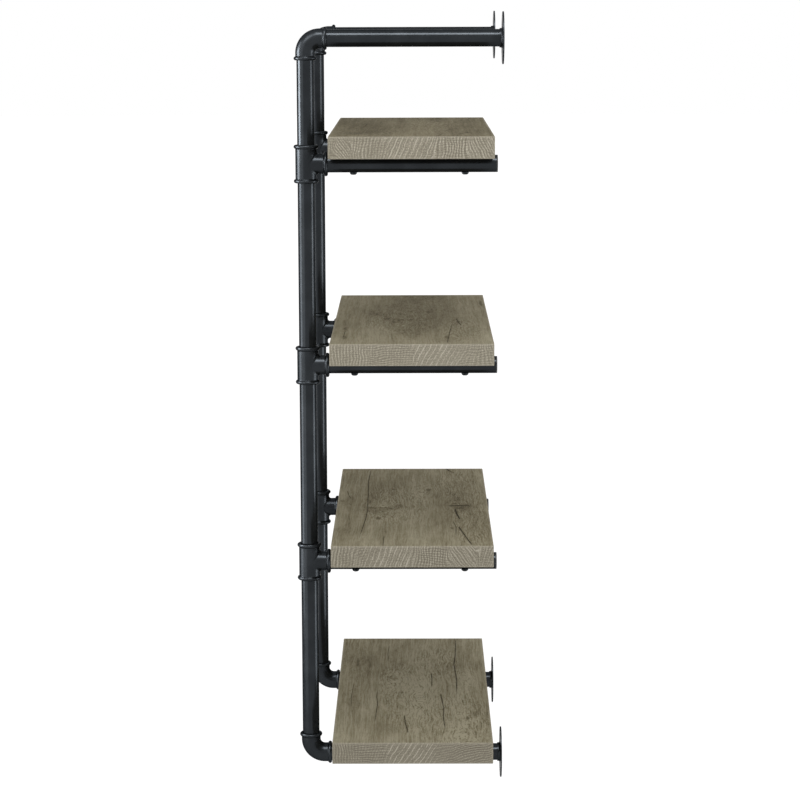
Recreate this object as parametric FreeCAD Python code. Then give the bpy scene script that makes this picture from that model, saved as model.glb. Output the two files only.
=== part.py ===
"""Wall shelf: four boards carried by two frames of black tube and cast pipe fittings.

Row frame: +X to the right along the boards, +Y towards the wall, +Z up. The origin lies on the
wall plane, at the middle of the rectangle of the four wall flanges. Lengths are in millimetres.
"""

import FreeCAD
import Part
import math
import os

# Boards, named from the bottom up
board_names = ("bottom", "second", "third", "top")
board_depth = 238.2
board_thickness = 32.0
board_edge_round = 0.8
board_pitch = 297.7
board_overhang = 101.6
board_front_gap = 3.4
board_wall_gap = 15.4

# Frames, one to each side of the middle
frame_signs = {"left": -1, "right": 1}
upright_spacing = 406.4
upper_arm_rise = 182.1

# Tube
tube_diameter = 25.4
tube_wall = 1.6

# Sockets of every fitting
socket_clearance = 0.05
socket_overrun = 1.0

# Tee
tee_socket_depth = 12.0
tee_run_wall = 2.95
tee_run_stop = 3.3
tee_bead_seat = 2.5
tee_branch_wall = 1.6
tee_branch_stop = 4.3
tee_bead_radius = 2.9
tee_bead_blend = 1.2
tee_crotch_blend = 3.5

# Elbow
elbow_socket_depth = 10.4
elbow_wall = 1.6
elbow_inner_bend = 6.85
elbow_bead_seat = 1.3
elbow_bead_radius = 2.8
elbow_bead_blend = 1.2

# Wall flange
flange_thickness = 2.0
flange_rim_width = 21.45
flange_rim_round = 0.6
flange_collar_height = 4.0
flange_collar_wall = 1.3
flange_collar_blend = 2.6
flange_shoulder = 1.0
flange_screw_hole = 5.5
flange_screw_count = 4
flange_screw_place_share = 0.53

# Plug in the open end of each short arm
plug_wall_gap = 8.0
plug_head = 2.0
plug_head_round = 0.9
plug_cup_length = 14.0
plug_cup_wall = 1.6
plug_fit_clearance = 0.05
plug_fin_height = 0.8
plug_fin_width = 1.4
plug_fin_count = 3

# Bolts that hold the boards to the arms, with the head's sizes as shares of the thread
bolt_diameter = 6.0
bolt_hole_clearance = 0.25
bolt_tip_chamfer = 0.8
bolt_grip_share = 0.6125
bolt_head_width_share = 1.75
bolt_head_height_share = 0.55
bolt_head_land_share = 0.1
bolt_head_crown_share = 0.95
bolt_head_dome_share = 0.09
bolt_hexagon_width_share = 0.667
bolt_hexagon_depth_share = 0.333
bolt_front_inset = 34.0
bolt_rear_inset = 40.3

# Threaded inserts in the underside of the boards
insert_wall = 1.45
insert_barb_height = 0.35
insert_barb_count = 5
insert_bore_clearance = 0.05
insert_hole_clearance = 0.05
insert_hole_spare = 2.4
insert_length_share = 0.47

# Radii and reaches that follow from the sizes above
tube_radius = tube_diameter / 2
tube_bore_radius = tube_radius - tube_wall
socket_radius = tube_radius + socket_clearance
tee_run_radius = socket_radius + tee_run_wall
tee_run_seat = tube_radius + tee_run_stop
tee_run_reach = tee_run_seat + tee_socket_depth
tee_branch_seat = tee_run_radius + tee_branch_stop
tee_branch_reach = tee_branch_seat + tee_socket_depth
elbow_radius = socket_radius + elbow_wall
elbow_bend = elbow_radius + elbow_inner_bend
insert_bore_radius = bolt_diameter / 2 + insert_bore_clearance
insert_radius = insert_bore_radius + insert_wall

# Places that follow, with a height for the arms of each board
board_length = upright_spacing + 2 * board_overhang
upright_to_wall = tee_branch_reach + board_front_gap + board_depth + board_wall_gap
upright_y = -upright_to_wall
board_front_y = upright_y + tee_branch_reach + board_front_gap
bolt_ys = (
    board_front_y + bolt_front_inset,
    board_front_y + board_depth - bolt_rear_inset,
)
frame_height = board_pitch * (len(board_names) - 1) + upper_arm_rise
lower_arm_z = -frame_height / 2
upper_arm_z = frame_height / 2
arm_heights = {name: lower_arm_z + board_pitch * i for i, name in enumerate(board_names)}

# Directions
Vector = FreeCAD.Vector
CENTRE = Vector(0, 0, 0)
OUT = Vector(1, 0, 0)
UP = Vector(0, 0, 1)
DOWN = Vector(0, 0, -1)
TO_WALL = Vector(0, 1, 0)
TO_ROOM = Vector(0, -1, 0)


def point(radius, height):
    """Profile point at a radius from the axis and a height along it."""
    return Vector(radius, 0, height)


def towards(start, direction, distance):
    """Point at a distance from a start, in a direction of any length."""
    step = Vector(direction)
    step.normalize()
    return start + step * distance


def line(start, end):
    """Straight profile edge."""
    return Part.LineSegment(start, end).toShape()


def arc(start, middle, end):
    """Round profile edge through three points."""
    return Part.Arc(start, middle, end).toShape()


def closed(*points):
    """Straight edges through points and back to the first."""
    return [line(a, b) for a, b in zip(points, points[1:] + points[:1])]


def turn(edges):
    """Solid of revolution about Z from the edges of a closed profile."""
    return Part.Face(Part.Wire(edges)).revolve(CENTRE, UP, 360)


def cylinder(radius, length, start=0, direction=UP):
    """Cylinder about a line through the origin, from a distance along it."""
    return Part.makeCylinder(radius, length, direction * start, direction)


def facing(shape, direction):
    """Copy of a shape made along +Z, turned to point in a direction."""
    copy = shape.copy()
    copy.Placement = FreeCAD.Placement(CENTRE, FreeCAD.Rotation(UP, direction))
    return copy


def placed(shape, x, y, z):
    """Copy of a shape moved to a place."""
    copy = shape.copy()
    copy.translate(Vector(x, y, z))
    return copy


def round_array(shape, radius, count, first_angle):
    """Copies of a shape spaced evenly on a circle about Z."""
    angles = [math.radians(first_angle + 360 * i / count) for i in range(count)]
    return [placed(shape, radius * math.cos(a), radius * math.sin(a), 0) for a in angles]


def fitting_leg(reach, body_radius, bead_seat, bead_radius, blend):
    """Outside of one leg of a fitting along +Z: plain barrel, blend, then a rounded end bead."""
    bead = point(socket_radius + bead_seat, reach - bead_radius)
    blend_x = body_radius + blend
    drop = math.sqrt((bead_radius + blend) ** 2 - (blend_x - bead.x) ** 2)
    hollow = point(blend_x, bead.z - drop)
    barrel_end = point(body_radius, hollow.z)
    bead_start = towards(bead, hollow - bead, bead_radius)
    hollow_side = (barrel_end - hollow).normalize() + (bead_start - hollow).normalize()
    bead_top = towards(bead, UP, bead_radius)
    mouth = point(socket_radius, bead.z + math.sqrt(bead_radius**2 - bead_seat**2))
    shoulder = towards(bead, mouth - bead + UP * bead_radius, bead_radius)
    return turn(
        [
            line(CENTRE, point(body_radius, 0)),
            line(point(body_radius, 0), barrel_end),
            arc(barrel_end, towards(hollow, hollow_side, blend), bead_start),
            arc(bead_start, towards(bead, OUT, bead_radius), bead_top),
            arc(bead_top, shoulder, mouth),
            line(mouth, point(0, mouth.z)),
            line(point(0, mouth.z), CENTRE),
        ]
    )


def socket(seat, depth, direction):
    """Cutter for the socket that takes a tube end in the mouth of a fitting."""
    return cylinder(socket_radius, depth + socket_overrun, seat, direction)


def make_tee():
    """Cast tee at the origin: run along Z, branch to the wall, one blended body, three sockets."""
    branch_radius = socket_radius + tee_branch_wall
    bead = (tee_bead_seat, tee_bead_radius, tee_bead_blend)
    half = fitting_leg(tee_run_reach, tee_run_radius, *bead)
    branch = fitting_leg(tee_branch_reach, branch_radius, *bead)
    run = half.fuse(facing(half, DOWN)).removeSplitter()
    body = run.fuse(facing(branch, TO_WALL)).removeSplitter()
    crotch = [e for e in body.Edges if isinstance(e.Curve, Part.BSplineCurve)]
    body = body.makeFillet(tee_crotch_blend, crotch)
    bores = [
        cylinder(tube_bore_radius, 2 * tee_run_reach, -tee_run_reach),
        cylinder(tube_bore_radius, tee_branch_reach, 0, TO_WALL),
        socket(tee_run_seat, tee_socket_depth, UP),
        socket(tee_run_seat, tee_socket_depth, DOWN),
        socket(tee_branch_seat, tee_socket_depth, TO_WALL),
    ]
    for bore in bores:
        body = body.cut(bore)
    return body


def quarter_bend(radius):
    """Quarter bend with its corner at the origin, from below round to the wall side."""
    ring = Part.Wire(Part.Circle(Vector(0, 0, -elbow_bend), UP, radius).toShape())
    pivot = Vector(0, elbow_bend, -elbow_bend)
    return Part.Face(ring).revolve(pivot, Vector(-1, 0, 0), 90)


def make_elbow():
    """Cast elbow with its corner at the origin, one leg down and one to the wall."""
    bead = (elbow_bead_seat, elbow_bead_radius, elbow_bead_blend)
    leg = fitting_leg(elbow_socket_depth, elbow_radius, *bead)
    lower_leg = placed(facing(leg, DOWN), 0, 0, -elbow_bend)
    wall_leg = placed(facing(leg, TO_WALL), 0, elbow_bend, 0)
    body = quarter_bend(elbow_radius).fuse([lower_leg, wall_leg]).removeSplitter()
    lower_socket = socket(0, elbow_socket_depth, DOWN)
    wall_socket = socket(0, elbow_socket_depth, TO_WALL)
    bores = [
        quarter_bend(tube_bore_radius),
        placed(lower_socket, 0, 0, -elbow_bend),
        placed(wall_socket, 0, elbow_bend, 0),
    ]
    return body.cut(bores)


def make_flange():
    """Wall flange with its back at the origin: drilled plate, blended collar, tube socket."""
    collar = socket_radius + flange_collar_wall
    collar_top = flange_thickness + flange_collar_height
    foot = collar + flange_collar_blend
    rim = foot + flange_rim_width
    hollow = point(foot, flange_thickness + flange_collar_blend)
    edge = point(rim - flange_rim_round, flange_thickness - flange_rim_round)
    foot_end = point(foot, flange_thickness)
    rim_top = point(edge.x, flange_thickness)
    rim_side = point(rim, edge.z)
    body = turn(
        [
            line(point(tube_bore_radius, 0), point(rim, 0)),
            line(point(rim, 0), rim_side),
            arc(rim_side, towards(edge, OUT + UP, flange_rim_round), rim_top),
            line(rim_top, foot_end),
            arc(foot_end, towards(hollow, -OUT - UP, flange_collar_blend), point(collar, hollow.z)),
            line(point(collar, hollow.z), point(collar, collar_top)),
            line(point(collar, collar_top), point(socket_radius, collar_top)),
            line(point(socket_radius, collar_top), point(socket_radius, flange_shoulder)),
            line(point(socket_radius, flange_shoulder), point(tube_bore_radius, flange_shoulder)),
            line(point(tube_bore_radius, flange_shoulder), point(tube_bore_radius, 0)),
        ]
    )
    screw_radius = foot + flange_rim_width * flange_screw_place_share
    hole = cylinder(flange_screw_hole / 2, flange_thickness)
    return facing(body.cut(round_array(hole, screw_radius, flange_screw_count, 45)), TO_ROOM)


def make_plug():
    """Plastic tube plug along +Z: finned cup inside the tube, low rounded head past its end."""
    fin_radius = tube_bore_radius - plug_fit_clearance
    cup_radius = fin_radius - plug_fin_height
    edge = point(tube_radius - plug_head_round, plug_head - plug_head_round)
    head_side = point(tube_radius, edge.z)
    head_top = point(edge.x, plug_head)
    head = turn(
        [
            line(CENTRE, point(tube_radius, 0)),
            line(point(tube_radius, 0), head_side),
            arc(head_side, towards(edge, OUT + UP, plug_head_round), head_top),
            line(head_top, point(0, plug_head)),
            line(point(0, plug_head), CENTRE),
        ]
    )
    fin_step = plug_cup_length / (plug_fin_count + 1)
    inner = [cylinder(cup_radius, plug_cup_length, -plug_cup_length)]
    for i in range(plug_fin_count):
        inner.append(cylinder(fin_radius, plug_fin_width, -fin_step * (i + 1)))
    hollow = cylinder(cup_radius - plug_cup_wall, plug_cup_length, -plug_cup_length)
    return head.fuse(inner).cut(hollow).removeSplitter()


def make_bolt():
    """Button head bolt: bearing face at the origin, shank up, hexagon socket in the head."""
    head_height = bolt_diameter * bolt_head_height_share
    rim = point(bolt_diameter * bolt_head_width_share / 2, 0)
    land = point(rim.x, -bolt_diameter * bolt_head_land_share)
    crown = point(bolt_diameter * bolt_head_crown_share / 2, -head_height)
    chord = crown - land
    outward = point(-chord.z, chord.x)
    dome = towards((land + crown) / 2, outward, bolt_diameter * bolt_head_dome_share)
    head = turn(
        [
            line(CENTRE, rim),
            line(rim, land),
            arc(land, dome, crown),
            line(crown, point(0, -head_height)),
            line(point(0, -head_height), CENTRE),
        ]
    )
    radius = bolt_diameter / 2
    tip = tube_diameter + board_thickness * bolt_grip_share
    shank = turn(
        closed(
            CENTRE,
            point(radius, 0),
            point(radius, tip - bolt_tip_chamfer),
            point(radius - bolt_tip_chamfer, tip),
            point(0, tip),
        )
    )
    hexagon_radius = bolt_diameter * bolt_hexagon_width_share / math.sqrt(3)
    corners = [v.Point for v in round_array(Part.Vertex(CENTRE), hexagon_radius, 6, 0)]
    hexagon = Part.Face(Part.makePolygon(corners + corners[:1]))
    recess = hexagon.extrude(UP * bolt_diameter * bolt_hexagon_depth_share)
    return head.fuse(shank).removeSplitter().cut(placed(recess, 0, 0, -head_height))


def make_insert():
    """Insert along +Z: bore for the bolt, and ring barbs that bite into the board."""
    length = board_thickness * insert_length_share
    step = length / insert_barb_count
    barbs = []
    for i in range(insert_barb_count):
        barbs.append(point(insert_radius, step * i))
        barbs.append(point(insert_radius - insert_barb_height, step * (i + 1)))
    return turn(closed(point(insert_bore_radius, 0), *barbs, point(insert_bore_radius, length)))


def bolt_places():
    """Plan positions of the four bolts of a board."""
    return [(sign * upright_spacing / 2, y) for sign in frame_signs.values() for y in bolt_ys]


def make_board():
    """Board on arms at height zero: eased edges, and a blind hole for each insert."""
    corner = Vector(-board_length / 2, board_front_y, tube_radius)
    board = Part.makeBox(board_length, board_depth, board_thickness, corner)
    board = board.makeFillet(board_edge_round, board.Edges)
    depth = board_thickness * bolt_grip_share + insert_hole_spare
    hole = cylinder(insert_radius + insert_hole_clearance, depth, tube_radius)
    return board.cut([placed(hole, x, y, 0) for x, y in bolt_places()])


def make_tube(start, end):
    """Tube along +Z between two distances from the origin."""
    length = end - start
    return cylinder(tube_radius, length, start).cut(cylinder(tube_bore_radius, length, start))


def make_arm(start, end):
    """Arm to the wall between two distances from the axis of the upright."""
    return placed(facing(make_tube(start, end), TO_WALL), 0, upright_y, 0)


def drilled(arm):
    """An arm with a clearance hole for each bolt."""
    radius = bolt_diameter / 2 + bolt_hole_clearance
    hole = cylinder(radius, tube_diameter, -tube_radius)
    return arm.cut([placed(hole, 0, y, 0) for y in bolt_ys])


def frame_parts():
    """Pieces of one frame by name, with the frame in the plane of X zero."""
    tee = placed(make_tee(), 0, upright_y, 0)
    elbow = placed(make_elbow(), 0, upright_y, 0)
    flange = make_flange()
    plug_seat = upright_to_wall - plug_wall_gap - plug_head
    plug = placed(facing(make_plug(), TO_WALL), 0, upright_y + plug_seat, 0)
    long_arm = make_arm(elbow_bend, upright_to_wall - flange_shoulder)
    short_arm = drilled(make_arm(tee_branch_seat, plug_seat))

    parts = {
        "elbow_upper": placed(elbow, 0, 0, upper_arm_z),
        "elbow_lower": placed(elbow.mirror(CENTRE, UP), 0, 0, lower_arm_z),
        "flange_upper": placed(flange, 0, 0, upper_arm_z),
        "flange_lower": placed(flange, 0, 0, lower_arm_z),
        "wall_arm_upper": placed(long_arm, 0, 0, upper_arm_z),
        "wall_arm_lower": placed(drilled(long_arm), 0, 0, lower_arm_z),
    }
    foot = lower_arm_z + elbow_bend
    for below, name in zip(board_names, board_names[1:]):
        z = arm_heights[name]
        parts[f"tee_{name}"] = placed(tee, 0, 0, z)
        parts[f"shelf_arm_{name}"] = placed(short_arm, 0, 0, z)
        parts[f"end_plug_{name}"] = placed(plug, 0, 0, z)
        parts[f"upright_{below}"] = placed(make_tube(foot, z - tee_run_seat), 0, upright_y, 0)
        foot = z + tee_run_seat
    last = make_tube(foot, upper_arm_z - elbow_bend)
    parts[f"upright_{board_names[-1]}"] = placed(last, 0, upright_y, 0)
    return parts


def shelf_parts():
    """Boards, with the bolts and the inserts of each as one group, by name."""
    board = make_board()
    bolt = make_bolt()
    insert = make_insert()
    parts = {}
    for name, z in arm_heights.items():
        bolts = [placed(bolt, x, y, z - tube_radius) for x, y in bolt_places()]
        inserts = [placed(insert, x, y, z + tube_radius) for x, y in bolt_places()]
        parts[f"board_{name}"] = placed(board, 0, 0, z)
        parts[f"bolts_{name}"] = Part.makeCompound(bolts)
        parts[f"inserts_{name}"] = Part.makeCompound(inserts)
    return parts


def main():
    """Write one STEP file per part."""
    os.makedirs("parts", exist_ok=True)
    parts = shelf_parts()
    for name, shape in frame_parts().items():
        for side, sign in frame_signs.items():
            parts[f"{name}_{side}"] = placed(shape, sign * upright_spacing / 2, 0, 0)
    for name, shape in parts.items():
        shape.exportStep(f"parts/{name}.step")


main()
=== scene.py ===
"""Looks of a pipe wall shelf: weathered boards on satin black tube and cast fittings.

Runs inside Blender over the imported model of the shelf. +X runs along the boards, +Y to the wall,
+Z up. Blender's own lengths are metres; the marks on the boards and their grain are in
millimetres.
"""

import math

import bpy
import numpy as np
from bpy.props import FloatProperty, FloatVectorProperty, PointerProperty
from mathutils import Color, Euler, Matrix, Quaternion, Vector


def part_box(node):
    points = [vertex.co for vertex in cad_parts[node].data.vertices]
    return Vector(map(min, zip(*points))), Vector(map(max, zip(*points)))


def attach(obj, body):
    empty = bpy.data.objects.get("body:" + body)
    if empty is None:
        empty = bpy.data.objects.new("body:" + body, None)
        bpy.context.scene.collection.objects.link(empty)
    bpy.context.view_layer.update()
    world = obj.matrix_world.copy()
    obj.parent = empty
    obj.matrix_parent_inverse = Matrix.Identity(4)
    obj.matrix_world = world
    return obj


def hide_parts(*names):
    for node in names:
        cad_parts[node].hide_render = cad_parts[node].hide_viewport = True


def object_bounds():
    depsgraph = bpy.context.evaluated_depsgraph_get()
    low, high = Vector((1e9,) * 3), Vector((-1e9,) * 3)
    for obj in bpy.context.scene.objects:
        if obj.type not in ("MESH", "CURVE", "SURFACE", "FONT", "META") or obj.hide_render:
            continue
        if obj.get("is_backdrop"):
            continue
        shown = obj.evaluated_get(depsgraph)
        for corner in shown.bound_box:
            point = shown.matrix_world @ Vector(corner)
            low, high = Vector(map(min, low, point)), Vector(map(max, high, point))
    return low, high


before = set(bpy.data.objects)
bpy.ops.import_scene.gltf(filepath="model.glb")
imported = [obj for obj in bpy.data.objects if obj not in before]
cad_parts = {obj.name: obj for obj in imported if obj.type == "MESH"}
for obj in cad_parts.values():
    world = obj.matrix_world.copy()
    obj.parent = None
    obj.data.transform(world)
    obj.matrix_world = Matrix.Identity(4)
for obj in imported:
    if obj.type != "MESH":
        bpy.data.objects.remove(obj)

bl_info = {
    "name": "Pipe Wall Shelf",
    "version": (1, 0, 0),
    "blender": (4, 5, 0),
    "location": "View3D > Sidebar > Wall Shelf",
    "description": "Boards, tube, fittings and fixings of a pipe wall shelf, finished and lit",
    "category": "Object",
}

# Metres to a millimetre, a length to tell places apart by, and the least divisor
MM = 0.001
HAIR = 0.000001
TINY = 1e-9
LEVELS = ("bottom", "second", "third", "top")

# What the eye picks out on each board, in mm from the middle of its top face, x along the board
# and y to the wall.
# cracks: the points that a crack runs through, then its width.
# smudges, spots, pale, figure: x, y, length and width of wide smoky patches, of small dark spots,
# of pale patches and of places where the grain curls.
# knots: x, y and size.
# tone, butt: how much the long faces and the sawn ends are paler or, below 0, darker: partly each
# board's own tone, partly painted light and shade that make up for how much lamp light it gets.
# rough, sawn: how strong the pattern is on the long faces and on the sawn ends.
# ends: the sawn end from the board's front edge to its back, each row with its place y, how far
# the growth lines lean sideways for each mm up, how much they show as wide pale lines, as fine
# upright lines and as fine level lines, and how high the level lines have climbed.
BOARD_MARKS = {
    "bottom": {
        "cracks": (
            (((5, -56), (60, -57), (95, -55), (200, -58)), 0.75),
            (((158, -13), (205, -11), (254, -7)), 1.1),
            (((-86, 30), (-45, 31), (2, 30)), 1.1),
            (((40, 44), (120, 48), (180, 47), (232, 49)), 1.05),
            (((-304, 74), (-190, 71), (-138, 68), (-33, 71), (45, 69)), 1.1),
            (((-20, -95), (60, -97), (120, -96)), 0.6),
            (((-260, -40), (-200, -42), (-150, -40)), 0.6),
        ),
        "smudges": (
            (-170, -30, 100, 15),
            (90, -93, 60, 14),
            (-140, -88, 60, 10),
            (-296, -60, 40, 12),
            (-97, 80, 90, 9),
            (240, 86, 36, 18),
            (62, 20, 34, 20),
            (244, -41, 34, 12),
            (150, 104, 60, 10),
            (-130, -96, 210, 40),
        ),
        "knots": ((72, 12, 8), (268, 76, 8), (-55, 82, 7), (-48, -30, 7)),
        "spots": ((34, -17, 10, 2), (170, -40, 14, 1.5), (176, 84, 10, 3), (-146, -91, 30, 3)),
        "pale": ((10, 14, 330, 20),),
        # Paler face for the lamp light kept off by the boards above, darker end: painted light and
        # shade.
        "tone": 0.14,
        "butt": -0.1,
        "rough": 1.05,
        "sawn": 0.97,
        "figure": ((60, -10, 150, 36), (200, 70, 150, 55), (-60, -34, 50, 16), (-150, 40, 90, 30)),
        "ends": (
            (-119, 0.0, 0.0, 1.0, 0.1, 0),
            (-96, 0.0, 0.0, 0.9, 0.3, 0),
            (-84, 0.1, 0.0, 0.35, 0.9, 1),
            (-46, 0.3, 0.1, 0.3, 1.0, 3),
            (-34, 0.5, 0.8, 0.1, 0.4, 4),
            (4, 0.6, 1.0, 0.1, 0.1, 5),
            (24, 0.65, 0.9, 0.1, 0.2, 6),
            (42, 0.7, 0.1, 0.1, 0.7, 7),
            (58, 0.7, 0.0, 0.0, 1.2, 10),
            (119, 0.7, 0.1, 0.0, 1.3, 27),
        ),
    },
    "second": {
        "cracks": (
            (((-304, -70), (-190, -73), (35, -70), (113, -72), (252, -79)), 0.9),
            (((-112, -106), (-80, -103), (-48, -99)), 0.8),
            (((230, -42), (296, -43)), 0.7),
            (((35, 67), (75, 69), (114, 73)), 2.1),
            (((145, 67), (222, 77), (302, 88)), 1.5),
            (((-304, 57), (-284, 62), (-266, 70)), 1.6),
            (((124, 62), (170, 66), (232, 65)), 0.6),
            (((6, 60), (10, 75), (14, 90)), 4.2),
        ),
        "smudges": (
            (-74, -56, 66, 16),
            (28, -30, 40, 20),
            (-12, -96, 40, 12),
            (12, 70, 44, 24),
            (-90, 29, 50, 9),
            (102, -43, 34, 14),
            (208, -98, 44, 15),
            (-172, 95, 66, 13),
            (-60, 76, 60, 14),
            (30, -52, 24, 34),
        ),
        "knots": ((14, 69, 6), (20, -44, 10), (-110, 15, 7)),
        "spots": (
            (13, 61, 6, 5),
            (10, 72, 7, 6),
            (28, 76, 8, 4),
            (6, 84, 7, 5),
            (25, -66, 6, 3),
            (28, -58, 6, 3),
            (25, -50, 6, 3),
            (24, -42, 6, 3),
            (32, -34, 9, 3.5),
            (-117, 26, 14, 4),
            (178, 60, 9, 3),
            (106, -52, 12, 4),
            (-122, -30, 8, 4),
            (-28, -111, 8, 4),
        ),
        "pale": ((-40, 6, 200, 14), (250, -20, 60, 60)),
        "tone": 0.045,
        "butt": -0.06,
        "rough": 0.9,
        "sawn": 1.22,
        "figure": ((0, -30, 140, 50), (100, 90, 220, 26), (-170, 70, 90, 30)),
        "ends": (
            (-119, 0.15, 0.1, 1.0, 0.1, 0),
            (-92, 0.05, 0.1, 0.8, 0.3, 0),
            (-76, 0.3, 0.3, 0.4, 0.4, 4),
            (-60, 0.42, 0.9, 0.2, 0.1, 4),
            (-8, 0.4, 0.9, 0.3, 0.1, 6),
            (6, 0.2, 0.3, 1.0, 0.2, 6),
            (18, 0.05, 0.1, 1.0, 0.9, 6),
            (48, 0.0, 0.1, 1.1, 0.7, 6),
            (58, -0.6, 0.5, 0.8, 0.0, 6),
            (92, -0.8, 0.5, 0.8, 0.0, 6),
            (101, 0.2, 0.3, 0.5, 0.3, 6),
            (119, 0.5, 0.4, 0.6, 0.3, 6),
        ),
    },
    "third": {
        "cracks": (
            (((72, 62), (188, 56), (300, 51)), 0.8),
            (((12, 69), (50, 71), (97, 75)), 1.0),
            (((150, -100), (230, -101)), 0.6),
            (((180, -30), (260, -29)), 0.5),
        ),
        "smudges": (
            (50, -30, 110, 24),
            (96, 0, 90, 18),
            (-50, 28, 100, 18),
            (-75, -67, 52, 14),
            (130, -104, 70, 13),
            (48, 76, 70, 11),
            (262, 60, 44, 26),
            (188, 4, 66, 18),
            (-190, 46, 90, 10),
            (-110, 17, 240, 52),
            (-80, 12, 200, 44),
        ),
        "knots": ((252, 60, 8), (40, -24, 10), (90, 74, 6)),
        "spots": (
            (26, -15, 10, 5),
            (26, -1, 12, 4),
            (13, -39, 14, 6),
            (53, -28, 16, 3),
            (53, 71, 18, 3.5),
            (-70, 25, 22, 3),
            (230, 52, 20, 3.5),
            (131, -100, 20, 3),
            (230, -99, 20, 4),
            (-187, 112, 40, 2.5),
        ),
        "pale": ((300, 10, 110, 140), (0, 106, 320, 14)),
        "tone": 0.05,
        "butt": 0.03,
        "rough": 0.74,
        "sawn": 1.12,
        "figure": ((40, -20, 150, 50), (150, 80, 120, 30)),
        "ends": (
            (-119, 0.0, 0.0, 0.9, 0.2, 0),
            (-74, 0.1, 0.1, 1.1, 0.3, 0),
            (-66, 0.1, 0.1, 0.4, 0.9, 0),
            (-4, 0.3, 0.1, 0.2, 1.0, 3),
            (6, 0.5, 1.1, 0.0, 0.3, 3),
            (58, 0.62, 1.0, 0.1, 0.1, 4),
            (70, 0.6, 0.3, 0.3, 0.3, 4),
            (92, 0.3, 0.1, 0.4, 0.7, 4),
            (119, -0.4, 0.1, 0.7, 0.6, 4),
        ),
    },
    "top": {
        "cracks": (
            (((240, 44), (272, 40), (300, 34)), 0.9),
            (((-90, -70), (10, -72)), 0.5),
            (((184, 86), (212, 77), (240, 68)), 1.9),
        ),
        "smudges": (
            (-140, -16, 120, 10),
            (100, -58, 160, 22),
            (-205, 40, 97, 13),
            (100, 61, 110, 15),
            (240, -90, 60, 16),
            (10, 92, 90, 12),
            (-60, -92, 250, 44),
        ),
        "knots": ((-150, -17, 7), (120, 52, 9)),
        "spots": (
            (-150, -17, 18, 4.5),
            (-165, 43, 18, 4),
            (-60, 52, 16, 3),
            (110, 58, 20, 4),
            (200, -30, 16, 3),
        ),
        "pale": ((60, 16, 300, 18), (300, 0, 90, 140)),
        # Darker face to cancel the stronger lamp light on the top board: painted shade.
        "tone": -0.245,
        "butt": -0.03,
        "rough": 0.66,
        "sawn": 1.3,
        "figure": ((-40, 30, 200, 40), (180, -60, 100, 30)),
        "ends": (
            (-119, 0.2, 0.1, 0.8, 0.3, 0),
            (-106, -0.9, 0.4, 0.9, 0.2, 0),
            (-90, -0.8, 0.3, 0.9, 0.2, 0),
            (-84, 0.1, 0.1, 0.9, 0.3, 0),
            (-42, 0.3, 0.3, 0.8, 0.2, 0),
            (-32, 0.42, 0.9, 0.3, 0.1, 0),
            (28, 0.42, 1.0, 0.3, 0.1, 0),
            (38, 0.1, 0.2, 1.0, 0.5, 0),
            (78, 0.0, 0.2, 1.1, 0.6, 0),
            (88, -0.5, 0.3, 0.9, 0.1, 0),
            (119, -0.6, 0.4, 0.9, 0.1, 0),
        ),
    },
}

# The attributes of a board's mesh besides its grain, and what their parts hold:
# offset, gape, smudge: distance across the nearest crack, how open it is, and smoke.
# arc, near_knot, worn: growth turns from the nearest knot, its nearness, and pale edges,
# partly wear and partly painted highlight.
# foot, climb, end: place of the growth lines, height of the level lines, and 1 on a sawn end.
# own_tone, spot, rough: how pale, partly painted light and shade for each board,
# how spotted and how strongly marked.
# curl: how much the grain curls.
BOARD_PARTS = {
    "marks": ("offset", "gape", "smudge"),
    "knots": ("arc", "near_knot", "worn"),
    "ends": ("foot", "climb", "end"),
    "zones": ("pale_lines", "upright_lines", "level_lines"),
    "tone": ("own_tone", "spot", "rough"),
    "figure": ("curl",),
}

# Noises of the wood: the scale along, across and up, in turns for each mm, then detail, roughness
# and distortion. The first ones lie on the plain grain, the others drift aside where it curls.
GRAIN_NOISES = {
    "cloud": ((0.0065, 0.021, 0.021), 3.0, 0.55, 0.4),
    "band": ((0.003, 0.12, 0.12), 4.0, 0.6, 0.0),
    "mottle": ((0.022, 0.06, 0.06), 3.0, 0.6, 0.6),
    "swirl": ((0.011, 0.042, 0.042), 1.5, 0.5, 0.5),
    "sway": ((0.004, 0.022, 0.03), 2.0, 0.5, 0.0),
    "speck": ((0.01, 0.5, 0.5), 3.0, 0.8, 0.0),
    "grit": ((0.01, 1.5, 1.5), 2.0, 0.7, 0.0),
    "patch": ((0.005, 0.07, 0.07), 2.0, 0.5, 0.0),
}
DRIFT_NOISE = ((0.011, 0.028, 0.028), 2.0, 0.5, 0.0)
FLOW_NOISES = {
    "line": ((0.01, 0.32, 0.32), 4.0, 0.65, 0.1),
    "fibre": ((0.03, 0.55, 0.55), 3.0, 0.7, 0.0),
    "fleck": ((0.07, 0.24, 0.24), 5.0, 0.75, 1.0),
    "stroke": ((0.13, 0.42, 0.42), 2.0, 0.6, 0.0),
}

# From where to where the curl attribute makes the grain curl, and how many mm the drift leads it
# aside: where it is straight, and what is added where it curls
CURL_RANGE = (0.25, 0.75)
DRIFT_STRAIGHT = 4.0
DRIFT_ADDED = 15.0

# Share of each noise in the tone of a long face where the grain is straight, and what is added to
# that share where it curls
FACE_SHARES = {
    "cloud": (0.72, 0.0),
    "band": (0.9, -0.4),
    "mottle": (0.3, 0.0),
    "line": (1.15, -0.3),
    "fibre": (1.0, 1.2),
    "stroke": (0.0, 0.9),
}

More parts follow.
